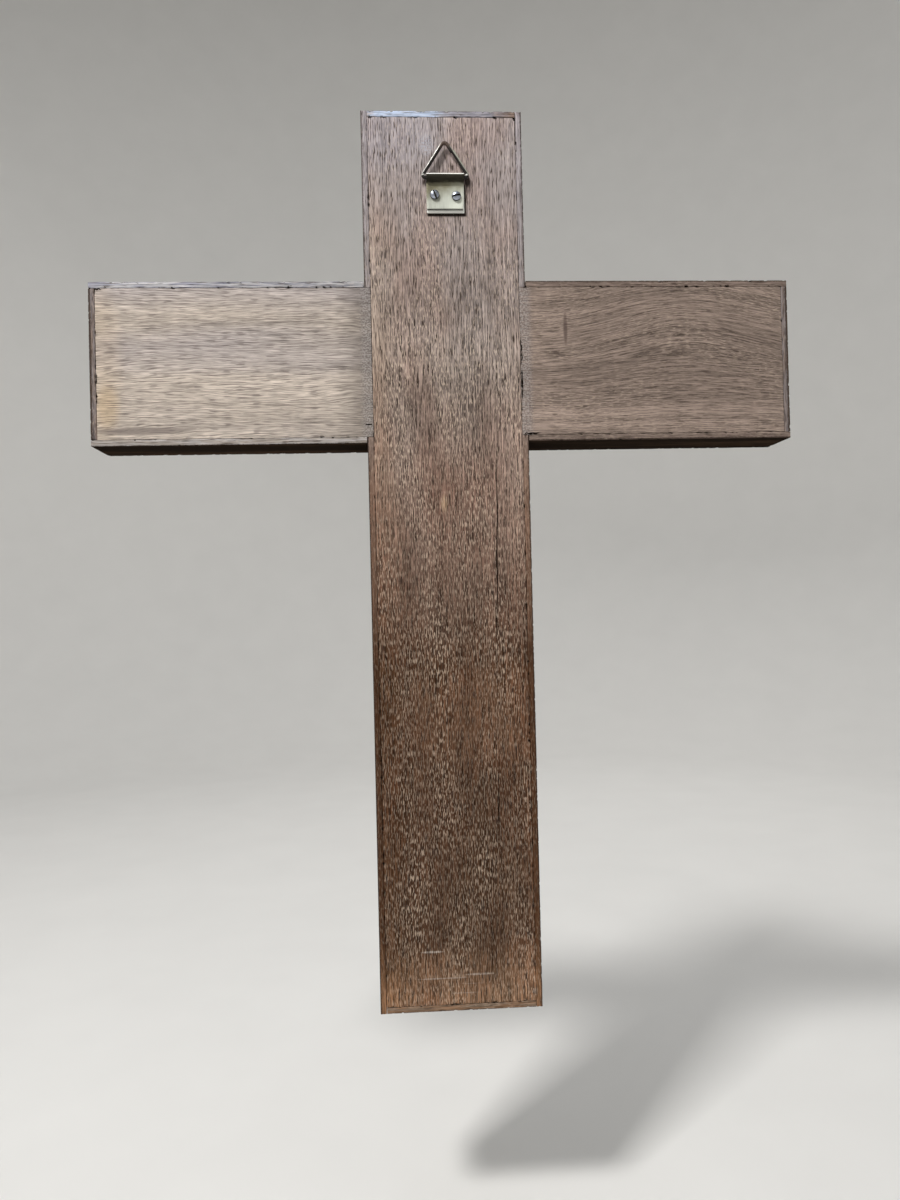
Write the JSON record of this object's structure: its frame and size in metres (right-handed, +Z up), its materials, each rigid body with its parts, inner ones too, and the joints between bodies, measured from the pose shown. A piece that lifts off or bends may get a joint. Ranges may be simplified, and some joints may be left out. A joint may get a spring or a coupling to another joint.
{
  "type": "wooden wall cross",
  "caption": "Plain Latin wall cross of flat wooden boards with thin edge strips; on its back a folded brass plate, slotted screws and a hinged triangular ring to hang it by.",
  "frame": {"origin": "the hang point: the inside of the ring's apex, where a nail or hook carries the cross", "axes": "+Z up along the upright as hung, +Y out of the back towards the wall, +X to the right of someone facing the front, which is left as seen from the back"},
  "size_m": [0.2962, 0.0277, 0.38],
  "materials": {
    "upright_wood": "worn, unvarnished reddish-brown board with vertical grain and pale filled pores",
    "pale_arm_wood": "worn pale tan board with horizontal grain and short dark dashes",
    "brown_arm_wood": "worn mid-brown board with arching horizontal grain",
    "strip_wood": "thin edge strips with dark seams, chipped edges and a dull sheen",
    "plate_brass": "pale brass sheet, tarnished dark in the fold",
    "ring_brass": "drawn wire with a worn shine and dark tarnish",
    "screw_steel": "bright plated steel"
  },
  "bodies": {
    "cross": {"upright_board": "upright_wood", "left_arm_board": "pale_arm_wood", "right_arm_board": "brown_arm_wood", "head_end_strip": "strip_wood", "foot_end_strip": "strip_wood", "left_arm_end_strip": "strip_wood", "left_arm_top_strip": "strip_wood", "left_arm_bottom_strip": "strip_wood", "left_head_side_strip": "strip_wood", "left_foot_side_strip": "strip_wood", "right_arm_end_strip": "strip_wood", "right_arm_top_strip": "strip_wood", "right_arm_bottom_strip": "strip_wood", "right_head_side_strip": "strip_wood", "right_foot_side_strip": "strip_wood", "hanger_plate": "plate_brass", "left_screw": "screw_steel", "right_screw": "screw_steel"},
    "ring": {"hanger_ring": "ring_brass"}
  },
  "joints": [
    {"name": "ring_hinge", "type": "hinge", "parent": "cross", "child": "ring", "pos_m": [0, 0, -0.0137], "axis": [-1, 0, 0], "range_deg": [-4, 164]}
  ]
}
